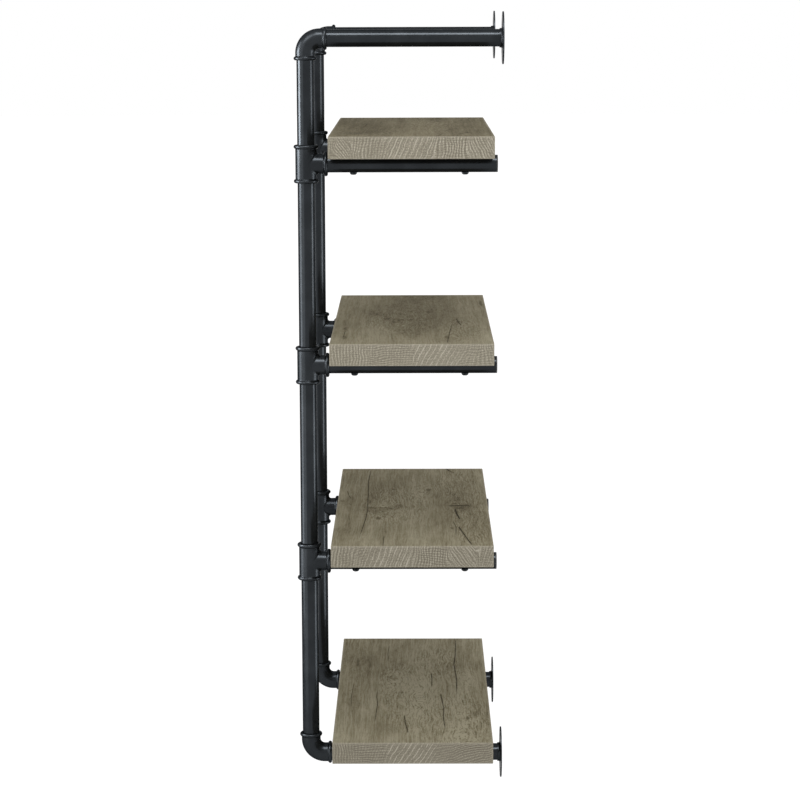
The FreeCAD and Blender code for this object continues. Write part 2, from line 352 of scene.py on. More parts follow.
# Sums of the wood's own values, by the share of each, where plain is a number on its own
WOOD_SUMS = {
    "pore": {"fibre": 1.0, "line": 0.5},
    "busy": {"plain": 0.35, "near_knot": 0.9, "mottled": 0.5},
    "turns": {"arc": 0.55, "swirl": 11.0, "fleck": 0.4, "line": 0.5},
    "growing": {"near_knot": 2.6, "curly": 0.4, "plain": 0.3},
    "strands": {"band": 7.0, "line": 0.7},
    "straight": {"plain": 1.0, "curly": -0.8},
    "murk": {"fleck": 2.4, "line": 1.0, "smudge": 0.36},
    "figure": {"busy_fleck": 1.5, "growth": -0.16, "strand": -0.18},
    "face_tone": {"plain": 0.5, "own_tone": 1.0, "murk": -0.4, "smudge": -0.09},
    "spotted": {"spot": 1.5, "fleck": 3.0, "line": 1.4},
    "ragged": {"offset": 1.0, "line": 1.8, "fleck": 1.3},
    "depth": {"gape": 1.0, "fleck": 2.2, "line": 1.0},
    "stretch": {"plain": 0.3, "patch": 0.6, "speck": 1.2},
    "upright_force": {"plain": 0.8, "patch": 1.6, "speck": 1.5},
    "level_force": {"plain": 0.9, "patch": -1.2, "speck": 1.5},
    "ground": {"speck": 1.5, "grit": 1.5, "upright": 0.33, "level": 0.33, "patch": 0.25},
    "end_tone": {"plain": 0.46, "own_tone": 1.0},
    "rubbing_and_highlight": {"plain": 0.55, "line": 1.2},
    "face_relief": {"fibre": 0.6, "line": 0.9, "pore": -0.5, "cleft": -3.0},
    "end_relief": {"pale_line": 0.5, "upright": 0.5, "speck": 0.9, "grit": 0.6},
    "roughness": {"plain": 0.84, "line": -0.2, "pore": -0.05, "cleft": 0.1},
}

# From where to where these sums and values rise from 0 to 1
RISES = {
    "pore": (0.12, 0.24),
    "mottle": (0.02, 0.25),
    "turns": (0.0, 0.3),
    "strands": (0.0, 0.14),
    "murk": (0.34, 0.8),
    "spotted": (0.7, 1.2),
    "halo": (0.3, 2.0),
    "depth": (0.1, 0.7),
    "cleft": (0.25, 0.8),
    "stretch": (0.1, 0.36),
    "rubbing_and_highlight": (0.1, 0.8),
}

# How much pores, spots, halos and clefts, pale growth lines and pale edges (partly wear and partly
# painted highlight) hide of the wood
PORE_COVER, SPOT_COVER, HALO_COVER, CLEFT_COVER = 0.5, 0.75, 0.4, 0.95
PALE_COVER = 0.95
RUBBED_AND_HIGHLIT_COVER = 0.7

# Weight of the dark start of each growth line and strand; the rest of its turn weighs 1 less
GROWTH_START = 0.6
STRAND_START = 0.8

# Lines on a sawn end: how far noise sways and frays them, in spacings, and how far from their
# middle, in spacings, they begin to fade and are gone
PALE_LINES = (1.4, 0.1, (0.045, 0.14))
UPRIGHT_LINES = (4.0, 0.35, (0.1, 0.36))
LEVEL_LINES = (4.5, 0.4, (0.08, 0.32))

# Fine upright and level lines: their spacing in mm, their weight, where a gap weighs 1 less, and
# how much of them shows everywhere
UPRIGHT_SPACING, UPRIGHT_WEIGHT, UPRIGHT_LEAST = 4.3, 0.5, 0.25
LEVEL_SPACING, LEVEL_WEIGHT, LEVEL_LEAST = 3.7, 0.45, 0.15

# How many mm further on in the noises each board's grain lies, along and across it
GRAIN_STEP = (1300.0, 410.0)

# Soft noises that bend the grain and that lead smoke and pale patches astray along and across the
# board: the scales of x and y, the first board's seed and the size in mm
WANDER = (0.45, 0.4, 20, 3.0)
STRAY_ALONG = (0.5, 0.9, 40, 34.0)
STRAY_ACROSS = (0.7, 0.6, 60, 11.0)

# How much paler a pale patch is, the most that ovals sum to, and the distance across a crack, in
# half widths, where there is none
PALE_SHARE = 0.11
MOST_OVALS = 1.3
FAR_FROM_CRACKS = 9.0

# The underside shows the marks of the top turned round, drawn in and shifted in mm
UNDER_SHARE = (-0.9, -0.93)
UNDER_SHIFT = 11.0

# Blind holes for the inserts: radius, depth, and how far their centres lie inside the box of the
# inserts, in metres, then the mesh lines round a hole, as shares of its radius
BORE_RADIUS = 0.00455
BORE_DEPTH = 0.022
BORE_INSET = 0.0045
BORE_RINGS = (-2.0, -1.5, -1.01, -0.99, -0.5, 0.0, 0.5, 0.99, 1.01, 1.5, 2.0)

# Mesh lines on an eased edge, as shares of its radius inside the corner, and how much less the
# edge is eased in places
EDGE_LINES = (0.0, 0.3, 0.62)
UNEVEN_EDGE = 0.35

# How sharply a sawn end begins, for each mm, how pale an edge is painted, as wear and as a
# highlight, and how that fades away from it, for each edge radius
END_SHARPNESS = 4.0
EDGE_WEAR_AND_HIGHLIGHT = 1.2
WEAR_AND_HIGHLIGHT_FADE = 0.6

# Noises of the metal and the plastic: the scale along each axis, in turns for each metre, then
# detail and roughness. Skin, sand and clouds are the coat's, bloom and turning lines the zinc's.
PEEL_NOISE = ((330.0, 330.0, 330.0), 2.0, 0.5)
SAND_NOISE = ((1500.0, 1500.0, 1500.0), 2.0, 0.6)
CLOUD_NOISE = ((24.0, 24.0, 24.0), 3.0, 0.6)
PLASTIC_NOISE = ((1800.0, 1800.0, 1800.0), 2.0, 0.6)
BLOOM_NOISE = ((160.0, 160.0, 160.0), 3.0, 0.6)
TURNED_NOISE = ((60.0, 60.0, 2600.0), 2.0, 0.5)

# Height in metres of the relief of the wood
WOOD_RELIEF = 0.0002

# Roughness and cast skin of the bolts, cast skin of the pressed flanges, colours of the inserts
# and the end plugs
BOLT_FINISH = (0.38, 0.2)
FLANGE_SKIN = 0.35
ZINC = (0.62, 0.60, 0.55)
PLUG_BLACK = (0.012, 0.012, 0.013)

# Floor: sides and radius in metres of its disc, its colour, and how much of it and how strongly
# it glows to the camera and in gloss
FLOOR_SIDES = 64
FLOOR_RADIUS = 30.0
FLOOR_COLOUR = (0.62, 0.62, 0.62)
FLOOR_GLOW_SHARE = 0.8
FLOOR_GLOW = 1.2

# Soft boxes: name, place, what it faces, its two sizes, watts, and whether it lights the gloss
# of surfaces or else their matte colour
WHITE = (1.0, 1.0, 1.0)
LAMPS = (
    ("key_above", (3.0, -0.15, 4.9), (0.2, -0.15, 0.3), (2.6, 1.9), 208.0, True),
    ("sky_front", (3.0, -0.15, 4.9), (0.2, -0.15, 0.3), (2.6, 2.6), 42.0, False),
    ("fill_front", (1.6, -0.1, 0.95), (0.3, -0.13, 0.2), (1.2, 0.7), 8.0, False),
    ("side_strip", (0.25, -1.5, 0.3), (0.2, -0.3, 0.3), (0.6, 1.8), 24.0, True),
    ("side_top", (0.22, -1.5, 0.53), (0.2, -0.3, 0.53), (0.6, 0.5), 21.5, True),
    ("side_glow", (1.1, -1.5, 0.0), (0.2, -0.3, 0.0), (1.3, 2.0), 12.5, True),
    ("corner_glow", (1.7, -1.7, 2.1), (0.2, -0.25, 0.3), (1.2, 1.2), 27.0, True),
    ("strip_right", (0.3, 1.3, -0.2), (0.1, -0.25, -0.2), (0.5, 1.5), 15.5, True),
)


def length_setting(name, about, default):
    """Setting that is a length in metres."""
    return FloatProperty(name=name, description=about, default=default, unit="LENGTH")


def colour_setting(name, about, default):
    """Setting that is a colour."""
    return FloatVectorProperty(name=name, description=about, default=default, subtype="COLOR")


class BoardSettings(bpy.types.PropertyGroup):
    """Sizes and colours of the boards."""

    cell: length_setting("Cell", "Spacing of the mesh lines", 0.0026)
    edge: length_setting("Edge round", "Radius of the eased edges", 0.0009)
    ring_spacing: length_setting("Ring spacing", "Between pale growth lines", 0.0078)
    top_colour: colour_setting("Face", "Face grain", (0.181, 0.158, 0.101))
    pale_colour: colour_setting("Pale streak", "Palest face grain", (0.29, 0.265, 0.187))
    dark_colour: colour_setting("Smudge", "Darkest face grain", (0.078, 0.065, 0.038))
    crack_colour: colour_setting("Crack", "Inside of the cracks", (0.026, 0.021, 0.012))
    # Paler than the face: partly the end grain's own colour, partly painted light on the lit ends.
    end_colour: colour_setting("End", "End grain", (0.264, 0.242, 0.186))
    ring_colour: colour_setting("Pale ring", "Pale growth rings", (0.45, 0.415, 0.34))
    ring_dark: colour_setting("Dark ring", "Ground between rings", (0.158, 0.140, 0.107))
    # Pale colour of the board edges: partly wear, partly a painted highlight along them.
    worn_and_highlit_colour: colour_setting("Worn edge", "Rubbed edges", (0.37, 0.34, 0.27))


class MetalSettings(bpy.types.PropertyGroup):
    """Coat of the tube and the fittings."""

    coat: colour_setting("Coat", "Satin black coat", (0.0265, 0.0295, 0.0325))
    tube_roughness: FloatProperty(
        name="Tube roughness", description="Of the coated tube", default=0.2, min=0, max=1
    )
    cast_roughness: FloatProperty(
        name="Fitting roughness", description="Of the coated castings", default=0.27, min=0, max=1
    )


class StageSettings(bpy.types.PropertyGroup):
    """Camera, light from all round and floor."""

    lens: FloatProperty(
        name="Lens", description="Focal length in millimetres", default=110.5, min=1
    )
    eye: FloatVectorProperty(
        name="Camera",
        description="Place of the camera in metres",
        default=(3.811, -0.130, 0.5826),
    )
    tilt: FloatVectorProperty(
        name="Aim",
        description="Tilt down, turn to the wall and roll",
        default=(math.radians(9.1), math.radians(0.355), math.radians(-0.18)),
        subtype="EULER",
    )
    floor_drop: length_setting("Floor drop", "Floor below the lowest point", 0.3)
    ambient: FloatProperty(name="Ambient", description="Light from all round", default=0.92)


class Wire:
    """A shader socket that can stand in a sum with numbers and other wires."""

    def __init__(self, shader, socket):
        self.shader = shader
        self.socket = socket

    def maths(self, operation, *others):
        """Math node with this wire first."""
        sockets = dict(enumerate((self, *others)))
        return self.shader.add("ShaderNodeMath", {"operation": operation}, sockets)

    def __add__(self, other):
        return self.maths("ADD", other)

    __radd__ = __add__

    def __sub__(self, other):
        return self.maths("SUBTRACT", other)

    def __rsub__(self, other):
        return (self * -1.0) + other

    def __mul__(self, other):
        return self.maths("MULTIPLY", other)

    __rmul__ = __mul__

    def __truediv__(self, other):
        return self.maths("DIVIDE", other)

    def __abs__(self):
        return self.maths("ABSOLUTE")

    def step(self, low, high):
        """Smooth step from 0 at low to 1 at high."""
        settings = {"interpolation_type": "SMOOTHSTEP"}
        ends = {0: self, 1: low, 2: high, 3: 0.0, 4: 1.0}
        return self.shader.add("ShaderNodeMapRange", settings, ends)


class Shader:
    """Node tree of one material or world, with its Principled surface or background."""

    def __init__(self, owner):
        owner.use_nodes = True
        self.owner = owner
        self.tree = owner.node_tree
        nodes = self.tree.nodes
        self.surface = nodes.get("Principled BSDF") or nodes["Background"]

    def add(self, kind, settings=None, sockets=None, output=0):
        """New node of a kind, with its settings, then values or wires for its sockets."""
        node = self.tree.nodes.new(kind)
        for name, value in (settings or {}).items():
            if name == "stops":
                self.fill_ramp(node.color_ramp, value)
            else:
                setattr(node, name, value)
        self.feed(node, sockets or {})
        return Wire(self, node.outputs[output])

    @staticmethod
    def fill_ramp(ramp, stops):
        """Colour stops of a ramp, as position and colour."""
        while len(ramp.elements) < len(stops):
            ramp.elements.new(0.5)
        for element, (position, colour) in zip(ramp.elements, stops):
            element.position = position
            element.color = (*colour, 1.0)

    def feed(self, node, sockets):
        """Values or wires for a node's sockets, by name or number."""
        for key, value in sockets.items():
            socket = node.inputs[key]
            if isinstance(value, Wire):
                self.tree.links.new(value.socket, socket)
            elif isinstance(value, (tuple, Color)):
                socket.default_value = (*value, 1.0)
            else:
                socket.default_value = value

    def attribute(self, name):
        """Vector attribute of the mesh."""
        return self.add("ShaderNodeAttribute", {"attribute_name": name}, output="Vector")

    def place(self):
        """Place on the object, in metres."""
        return self.add("ShaderNodeTexCoord", output="Object")

    def split(self, vector):
        """The three parts of a vector wire."""
        node = self.add("ShaderNodeSeparateXYZ", None, {0: vector}).socket.node
        return [Wire(self, socket) for socket in node.outputs]

    def noise(self, vector, scale, detail, roughness, distortion=0.0):
        """Noise over a vector wire that is first multiplied by a scale for each axis."""
        settings = {"operation": "MULTIPLY"}
        place = self.add("ShaderNodeVectorMath", settings, {0: vector, 1: Vector(scale)})
        sockets = {
            "Vector": place,
            "Scale": 1.0,
            "Detail": detail,
            "Roughness": roughness,
            "Distortion": distortion,
        }
        return self.add("ShaderNodeTexNoise", None, sockets)

    def ramp(self, factor, *colours):
        """Colour from evenly spaced colours, by a wire from 0 to 1."""
        stops = [(i / (len(colours) - 1), colour) for i, colour in enumerate(colours)]
        return self.add("ShaderNodeValToRGB", {"stops": stops}, {0: factor})

    def blend(self, factor, first, second):
        """Colour between two, by a wire from 0 to 1."""
        settings = {"data_type": "RGBA"}
        return self.add("ShaderNodeMix", settings, {0: factor, 6: first, 7: second}, output=2)

    def bump(self, height, distance):
        """Normal from a height wire, whose 1 stands this far out."""
        return self.add("ShaderNodeBump", None, {"Height": height, "Distance": distance})

    def finish(self, **sockets):
        """Wires and values for the surface, with spaces for underscores."""
        self.feed(self.surface, {k.replace("_", " "): v for k, v in sockets.items()})
        return self.owner


class WoodShader(Shader):
    """Shader whose own values are the parts of a board's attributes and the noises of its grain.

    The functions for its long faces and its sawn ends add what they make of these.
    """

    def __init__(self, name):
        super().__init__(bpy.data.materials.new(name))
        for attribute, parts in BOARD_PARTS.items():
            for part, wire in zip(parts, self.split(self.attribute(attribute))):
                setattr(self, part, wire)
        self.curly = self.curl.step(*CURL_RANGE)
        grain = self.attribute("grain")
        self.add_noises(grain, GRAIN_NOISES)
        size = self.curly * DRIFT_ADDED + DRIFT_STRAIGHT
        drift = (self.noise(grain, *DRIFT_NOISE) - 0.5) * size
        aside = self.add("ShaderNodeCombineXYZ", None, {1: drift})
        flow = self.add("ShaderNodeVectorMath", {"operation": "ADD"}, {0: grain, 1: aside})
        self.add_noises(flow, FLOW_NOISES)

    def add_noises(self, vector, noises):
        """Noises over a vector wire, each about 0."""
        for name, values in noises.items():
            setattr(self, name, self.noise(vector, *values) - 0.5)

    def total(self, name):
        """Sum of this shader's own values by their shares."""
        total = None
        for part, share in WOOD_SUMS[name].items():
            term = share if part == "plain" else getattr(self, part) * share
            total = term if total is None else total + term
        return total

    def rise(self, name):
        """Sum that rises from 0 to 1."""
        return self.total(name).step(*RISES[name])

    def saw(self, name):
        """Sum whose every turn begins at 0, rises to 1 and stays there."""
        return self.total(name).maths("FRACT").step(*RISES[name])

    def gap(self, place, spacing, sway, fray, fade):
        """0 on the lines in the middle of each spacing of a place, and 1 in the gaps between."""
        turn = (place / spacing + self.sway * sway + self.speck * fray).maths("FRACT")
        return abs(turn - 0.5).step(*fade)


def board_face(s, settings):
    """Colour of a board's long faces.

    Noises drawn out along the grain, flecks that crowd near the knots, growth lines round the
    knots and strands between them make a tone, from dark over the face's own colour to pale.
    Smudges darken it in flecks; pores and spots lie in it. A crack is the line where its offset,
    made ragged, is near 0, with a dark halo.
    """
    dark = settings.dark_colour
    s.pore = s.rise("pore")
    s.mottled = s.mottle.step(*RISES["mottle"])
    s.busy_fleck = s.fleck * s.total("busy")
    s.growth = (GROWTH_START - s.saw("turns")) * s.total("growing")
    s.strand = (STRAND_START - s.saw("strands")) * s.total("straight")
    s.murk = s.rise("murk")
    figure = s.total("figure")
    for name, (straight, added) in FACE_SHARES.items():
        figure = figure + getattr(s, name) * (straight + s.curly * added)
    tone = s.total("face_tone") + figure * s.rough
    edge = abs(s.total("ragged"))
    halo = (1.0 - edge.step(*RISES["halo"])) * s.gape
    s.cleft = (1.0 - edge.step(*RISES["cleft"])) * s.rise("depth")
    face = s.ramp(tone, dark, settings.top_colour, settings.pale_colour)
    face = s.blend(s.pore * PORE_COVER, face, dark)
    face = s.blend(s.rise("spotted") * SPOT_COVER, face, dark)
    face = s.blend(halo * HALO_COVER, face, dark)
    return s.blend(s.cleft * CLEFT_COVER, face, settings.crack_colour)


def board_end(s, settings):
    """Colour of a board's sawn ends.

    Wide pale growth lines in broken stretches, fine upright lines and fine level lines lie over a
    speckled ground.
    """
    low, high = settings.ring_dark, settings.ring_colour
    line = 1.0 - s.gap(s.foot, settings.ring_spacing / MM, *PALE_LINES)
    s.pale_line = line * s.rise("stretch") * s.pale_lines
    line = UPRIGHT_WEIGHT - s.gap(s.foot, UPRIGHT_SPACING, *UPRIGHT_LINES)
    s.upright = line * (s.upright_lines + UPRIGHT_LEAST) * s.total("upright_force")
    line = LEVEL_WEIGHT - s.gap(s.climb, LEVEL_SPACING, *LEVEL_LINES)
    s.level = line * (s.level_lines + LEVEL_LEAST) * s.total("level_force")
    tone = s.total("end_tone") + s.total("ground") * s.rough
    butt = s.ramp(tone, low, settings.end_colour, high)
    return s.blend(s.pale_line * PALE_COVER, butt, high)


def wood(settings):
    """Weathered board: long faces, sawn ends, fine relief, edge wear and painted edge highlight.
    """
    s = WoodShader("weathered_board")
    colour = s.blend(s.end, board_face(s, settings), board_end(s, settings))
    # Pale edges: partly wear, partly a painted highlight along the edges.
    rubbed_and_highlit = s.worn * s.rise("rubbing_and_highlight") * RUBBED_AND_HIGHLIT_COVER
    relief = (1.0 - s.end) * s.total("face_relief") + s.end * s.total("end_relief")
    return s.finish(
        Base_Color=s.blend(rubbed_and_highlit, colour, settings.worn_and_highlit_colour),
        Roughness=s.total("roughness"),
        Normal=s.bump(relief, WOOD_RELIEF),
        Specular_IOR_Level=0.04,
    )


def coated(name, colour, roughness, cast):
    """Satin black coat on steel: three quarters dim mirror and one quarter matte.

    The matte share keeps it from going black where it mirrors something dark, and the tint keeps
    its rim from going white. Cast is 0 on drawn tube and 1 on a sand-cast fitting, whose skin
    shows through the coat.
    """
    mirror_share, rim_tint = 0.75, (0.4, 0.4, 0.4)
    deep_share, dusty_share = 0.85, 1.35
    dust_range, dust_by_cloud, dust_by_sand = (0.3, 0.75), 0.6, 0.1
    rough_by_cloud, rough_by_sand = 0.05, 0.01
    drawn_height, cast_height = 0.000001, 0.000004
    s = Shader(bpy.data.materials.new(name))
    place = s.place()
    peel = s.noise(place, *PEEL_NOISE)
    sand = s.noise(place, *SAND_NOISE)
    cloud = s.noise(place, *CLOUD_NOISE)
    deep = tuple(c * deep_share for c in colour)
    dusty = tuple(c * dusty_share for c in colour)
    dust = cloud.step(*dust_range) * dust_by_cloud + sand * dust_by_sand
    return s.finish(
        Base_Color=s.blend(dust, deep, dusty),
        Metallic=mirror_share,
        Roughness=roughness + (cloud - 0.5) * rough_by_cloud + (sand - 0.5) * rough_by_sand,
        Normal=s.bump(peel, drawn_height + cast_height * cast),
        Specular_Tint=rim_tint,
        Specular_IOR_Level=0.0,
    )


def plastic(name, colour):
    """Matte moulded plastic with a fine spark-eroded grain."""
    pale_share, pale_by_grain = 1.6, 0.4
    roughness, rough_by_grain, grain_height = 0.52, 0.12, 0.00003
    s = Shader(bpy.data.materials.new(name))
    grain = s.noise(s.place(), *PLASTIC_NOISE)
    pale = tuple(c * pale_share for c in colour)
    return s.finish(
        Base_Color=s.blend(grain * pale_by_grain, colour, pale),
        Roughness=roughness + (grain - 0.5) * rough_by_grain,
        Normal=s.bump(grain, grain_height),
    )


def plated(name, colour):
    """Bright zinc plate, turned on a lathe, with a faint cloudy bloom."""
    dull_share, bloom_range = 0.72, (0.35, 0.7)
    roughness, rough_by_bloom, turned_height = 0.3, 0.16, 0.00002
    s = Shader(bpy.data.materials.new(name))
    place = s.place()
    bloom = s.noise(place, *BLOOM_NOISE)
    turned = s.noise(place, *TURNED_NOISE)
    dull = tuple(c * dull_share for c in colour)
    return s.finish(
        Base_Color=s.blend(bloom.step(*bloom_range), colour, dull),
        Metallic=1.0,
        Roughness=roughness + bloom * rough_by_bloom,
        Normal=s.bump(turned, turned_height),
    )


def box_surface(half, lines):
    """Closed box of half sizes, cut along the given line places on each axis.

    Each of the six faces is the grid of all pairs of lines of its two axes, at plus or minus the
    half size of the third. Corners that two or three faces share become one vertex.
    """
    corners, quads, start = [], [], 0
    for axis in range(3):
        a, b = (axis + 1) % 3, (axis + 2) % 3
        u, v = np.meshgrid(lines[a], lines[b], indexing="ij")
        n, m = u.shape
        i, j = np.meshgrid(np.arange(n - 1), np.arange(m - 1), indexing="ij")
        cell = i * m + j
        ring = np.stack([cell, cell + m, cell + m + 1, cell + 1], -1).reshape(-1, 4)
        for side in (1, -1):
            spot = np.empty((n * m, 3))
            spot[:, axis] = side * half[axis]
            spot[:, a] = u.ravel()
            spot[:, b] = v.ravel()
            corners.append(spot)
            quads.append(start + (ring if side > 0 else ring[:, ::-1]))
            start += n * m
    points, index = np.unique(np.round(np.concatenate(corners), 7), axis=0, return_inverse=True)
    return points, index.reshape(-1)[np.concatenate(quads)]


def eased(points, half, radius):
    """Box points with edges rounded to a radius that may vary from point to point.

    A point is pulled onto the box that is smaller by the radius all round, then pushed out from
    there by the radius, in the direction that it came from.
    """
    radius = radius[:, None]
    core = np.clip(points, radius - half, half - radius)
    out = points - core
    length = np.linalg.norm(out, axis=1, keepdims=True)
    return core + out / np.maximum(length, TINY) * radius


def bored(points, half, centres):
    """Box points with a round blind hole up from the underside at each centre.

    Square rings of points round a centre are drawn onto circles: the point's larger offset over
    its distance scales it, fading out at twice the radius. Points inside the radius go up.
    """
    points = points.copy()
    below = points[:, 2] < -half[2] + HAIR
    for centre in centres:
        d = points[:, :2] - centre
        square = np.abs(d).max(1)
        distance = np.maximum(np.linalg.norm(d, axis=1), TINY)
        fade = np.clip(2.0 - square / BORE_RADIUS, 0.0, 1.0)
        factor = 1.0 + (square / distance - 1.0) * fade
        near = below & (square < 2.0 * BORE_RADIUS)
        points[near, :2] = centre + d[near] * factor[near, None]
        points[below & (square < BORE_RADIUS - HAIR), 2] += BORE_DEPTH
    return points


def lines_between(half, cell, edge, centres=()):
    """Line places from minus to plus half: even cells, closer ones on the edges and the holes."""
    cells = max(2, int(round(2 * (half - edge) / cell)))
    lines = np.linspace(edge - half, half - edge, cells)
    extra = [c + share * BORE_RADIUS for c in centres for share in BORE_RINGS]
    for place in extra:
        lines = lines[np.abs(lines - place) > cell * 0.25]
    rim = half - edge * np.array(EDGE_LINES)
    return np.unique(np.round(np.concatenate([lines, rim, -rim, np.array(extra)]), 7))


def soft_noise(x, y, seed):
    """Smooth wandering value near 0 and within 1.

    It is the sum of five sines of x and y over their rough greatest sum, each wave shorter and
    weaker than the one before, with random slopes and starts.
    """
    waves, steepest_x, steepest_y, whole_turn, greatest = 5, 0.05, 0.09, 6.28, 2.3
    rng = np.random.default_rng(seed)
    total = np.zeros_like(x)
    for k in range(1, waves + 1):
        slope_x, slope_y = rng.uniform(-1, 1, 2) * (steepest_x, steepest_y)
        start = rng.uniform(0, whole_turn)
        total += np.sin(x * slope_x * k + y * slope_y * k + start) / k
    return total / greatest


def bent(x, y, level, scale_x, scale_y, first_seed, size):
    """Soft noise of a board in mm, by the scales of its x and y."""
    return size * soft_noise(x * scale_x, y * scale_y, LEVELS.index(level) + first_seed)


def crack_marks(x, y, cracks):
    """Signed distance across the nearest crack in half widths, and how open it is there.

    A crack is a line y(x) through its points, measured square to its slope. It is open in its
    middle, closes towards its ends as one minus the fourth power, and its hold on the wood round
    it is full near it and fades over some 7 mm. A wide crack holds more than a narrow one.
    """
    run_on, fade, full = 2.0, 7.0, 1.6
    thin_hold, hold_by_width = 0.55, 0.4
    offset = np.full_like(x, FAR_FROM_CRACKS)
    gape = np.zeros_like(x)
    for path, width in cracks:
        px, py = np.array(path, float).T
        rise = np.interp(x + 1.0, px, py) - np.interp(x - 1.0, px, py)
        across = (y - np.interp(x, px, py)) / np.hypot(1.0, rise / 2.0)
        middle, reach = (px[0] + px[-1]) / 2, (px[-1] - px[0]) / 2 + run_on
        along = np.clip(1.0 - np.abs((x - middle) / reach) ** 4, 0.0, 1.0)
        hold = along * np.clip(full - np.abs(across) / fade, 0.0, 1.0)
        hold = hold * min(1.0, thin_hold + hold_by_width * width)
        nearer = hold > gape
        offset = np.where(nearer, across / width, offset)
        gape = np.where(nearer, hold, gape)
    return offset, gape


def oval_marks(x, y, ovals):
    """Sum of soft oval patches, each one over 1 + distance to the fourth in its own sizes."""
    total = np.zeros_like(x)
    for cx, cy, length, width in ovals:
        far = ((x - cx) / length) ** 2 + ((y - cy) / width) ** 2
        total += 1.0 / (1.0 + far**2)
    return np.clip(total, 0.0, MOST_OVALS)


def knot_flow(x, y, knots):
    """Cross-grain place with the grain bent round the knots, growth turns and nearness of a knot.

    Each knot pushes the lines aside by a smooth odd step, strongest beside it and gone within a
    few of its sizes. The turns are the distance from its heart, drawn out along the grain, and
    the nearness is the bell of that distance.
    """
    drawn_out, reach, push, heart, bell = 4.5, 2.6, 0.75, 0.55, 2.4
    flow, arc, near = y.copy(), np.zeros_like(x), np.zeros_like(x)
    for cx, cy, size in knots:
        dx, dy = (x - cx) / (size * drawn_out), (y - cy) / (size * reach)
        aside = np.tanh((y - cy) / (size * heart)) * np.exp(-(dx**2) - dy**2)
        flow -= size * push * aside
        far = np.hypot((x - cx) / drawn_out, y - cy) / size
        closeness = np.exp(-((far / bell) ** 2))
        arc = np.where(closeness > near, far, arc)
        near = np.maximum(near, closeness)
    return flow, arc, near


def board_values(level, box, half, edge):
    """Grain of a board in mm, and every part of its attributes, at each point of its box.

    The marks are read at the point's own x and y, and on the underside at these turned round.
    Smoke and pale patches stray from their ovals by soft noise. A point is on a sawn end when it
    is within half an edge of it, and its edge is painted pale, partly as wear and partly as a
    highlight, when the second nearest side is near.
    """
    number, marks = LEVELS.index(level), BOARD_MARKS[level]
    x, y, z = box.T / MM
    under = z < HAIR / MM - half[2] / MM
    mx = np.where(under, x * UNDER_SHARE[0] + UNDER_SHIFT, x)
    my = np.where(under, y * UNDER_SHARE[1], y)
    flow, arc, near_knot = knot_flow(mx, my, marks["knots"])
    along, across = GRAIN_STEP
    wander = bent(x, y, level, *WANDER)
    grain = (x + along * (number + 1), flow + wander + across * number, z)

    offset, gape = crack_marks(mx, my, marks["cracks"])
    sx = mx + bent(mx, my, level, *STRAY_ALONG)
    sy = my + bent(mx, my, level, *STRAY_ACROSS)
    place, *columns = np.array(marks["ends"], float).T
    lean, pale_lines, upright_lines, level_lines, climb = (np.interp(y, place, c) for c in columns)
    inside_end = half[0] / MM - edge / MM * 0.5
    end = np.clip((np.abs(x) - inside_end) * END_SHARPNESS, 0.0, 1.0)
    to_edge = np.sort(half / MM - np.abs(box / MM), axis=1)[:, 1]
    # A board's tone and butt are partly painted light and shade, by how much lamp light it gets.
    lit = marks["tone"] + PALE_SHARE * oval_marks(sx, sy, marks["pale"])
    return grain, {
        "offset": offset,
        "gape": gape,
        "smudge": oval_marks(sx, sy, marks["smudges"]),
        "arc": arc,
        "near_knot": near_knot,
        # Edge paleness, partly wear and partly painted highlight, fading from each edge.
        "worn": np.clip(EDGE_WEAR_AND_HIGHLIGHT - to_edge * MM / edge * WEAR_AND_HIGHLIGHT_FADE, 0.0, 1.0),
        "foot": y - lean * z,
        "climb": z - climb,
        "end": end,
        "pale_lines": pale_lines,
        "upright_lines": upright_lines,
        "level_lines": level_lines,
        "own_tone": np.where(end > 0.5, marks["butt"], lit),
        "spot": oval_marks(mx, my, marks["spots"]),
        "rough": np.where(end > 0.5, marks["sawn"], marks["rough"]),
        "curl": oval_marks(mx, my, marks["figure"]),
    }


def mesh_object(name, points, quads):
    """Mesh object at the origin from arrays of points and quads."""
    mesh = bpy.data.meshes.new(name)
    mesh.vertices.add(len(points))
    mesh.vertices.foreach_set("co", points.astype(np.float32).ravel())
    mesh.loops.add(quads.size)
    mesh.loops.foreach_set("vertex_index", quads.astype(np.int32).ravel())
    mesh.polygons.add(len(quads))
    mesh.polygons.foreach_set("loop_start", np.arange(len(quads), dtype=np.int32) * 4)
    mesh.polygons.foreach_set("use_smooth", np.ones(len(quads), dtype=bool))
    mesh.update(calc_edges=True)
    mesh.validate()
    obj = bpy.data.objects.new(name, mesh)
    bpy.context.scene.collection.objects.link(obj)
    return obj


def write_vectors(mesh, name, parts):
    """Vector attribute of the mesh's points from up to three arrays, with 0 for the rest."""
    values = np.zeros((len(mesh.vertices), 3), np.float32)
    values[:, : len(parts)] = np.stack(parts, -1)
    layer = mesh.attributes.new(name, "FLOAT_VECTOR", "POINT")
    layer.data.foreach_set("vector", values.ravel())


def board_surface(level, centre, half, settings):
    """Box of a board as a grid, the same points once eased and bored, and the quads."""
    first, last = map(np.array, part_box(f"inserts_{level}"))
    near, far = first + BORE_INSET - centre, last - BORE_INSET - centre
    columns, rows = (near[0], far[0]), (near[1], far[1])
    holes = (columns, rows, ())
    lines = [lines_between(h, settings.cell, settings.edge, c) for h, c in zip(half, holes)]
    box, quads = box_surface(half, lines)
    x, y, z = box.T / MM
    wear = 1.0 + UNEVEN_EDGE * soft_noise(x + y + z, y - z, LEVELS.index(level))
    radius = settings.edge * np.minimum(wear, 1.0)
    centres = [np.array([c, r]) for c in columns for r in rows]
    return box, bored(eased(box, half, radius), half, centres), quads


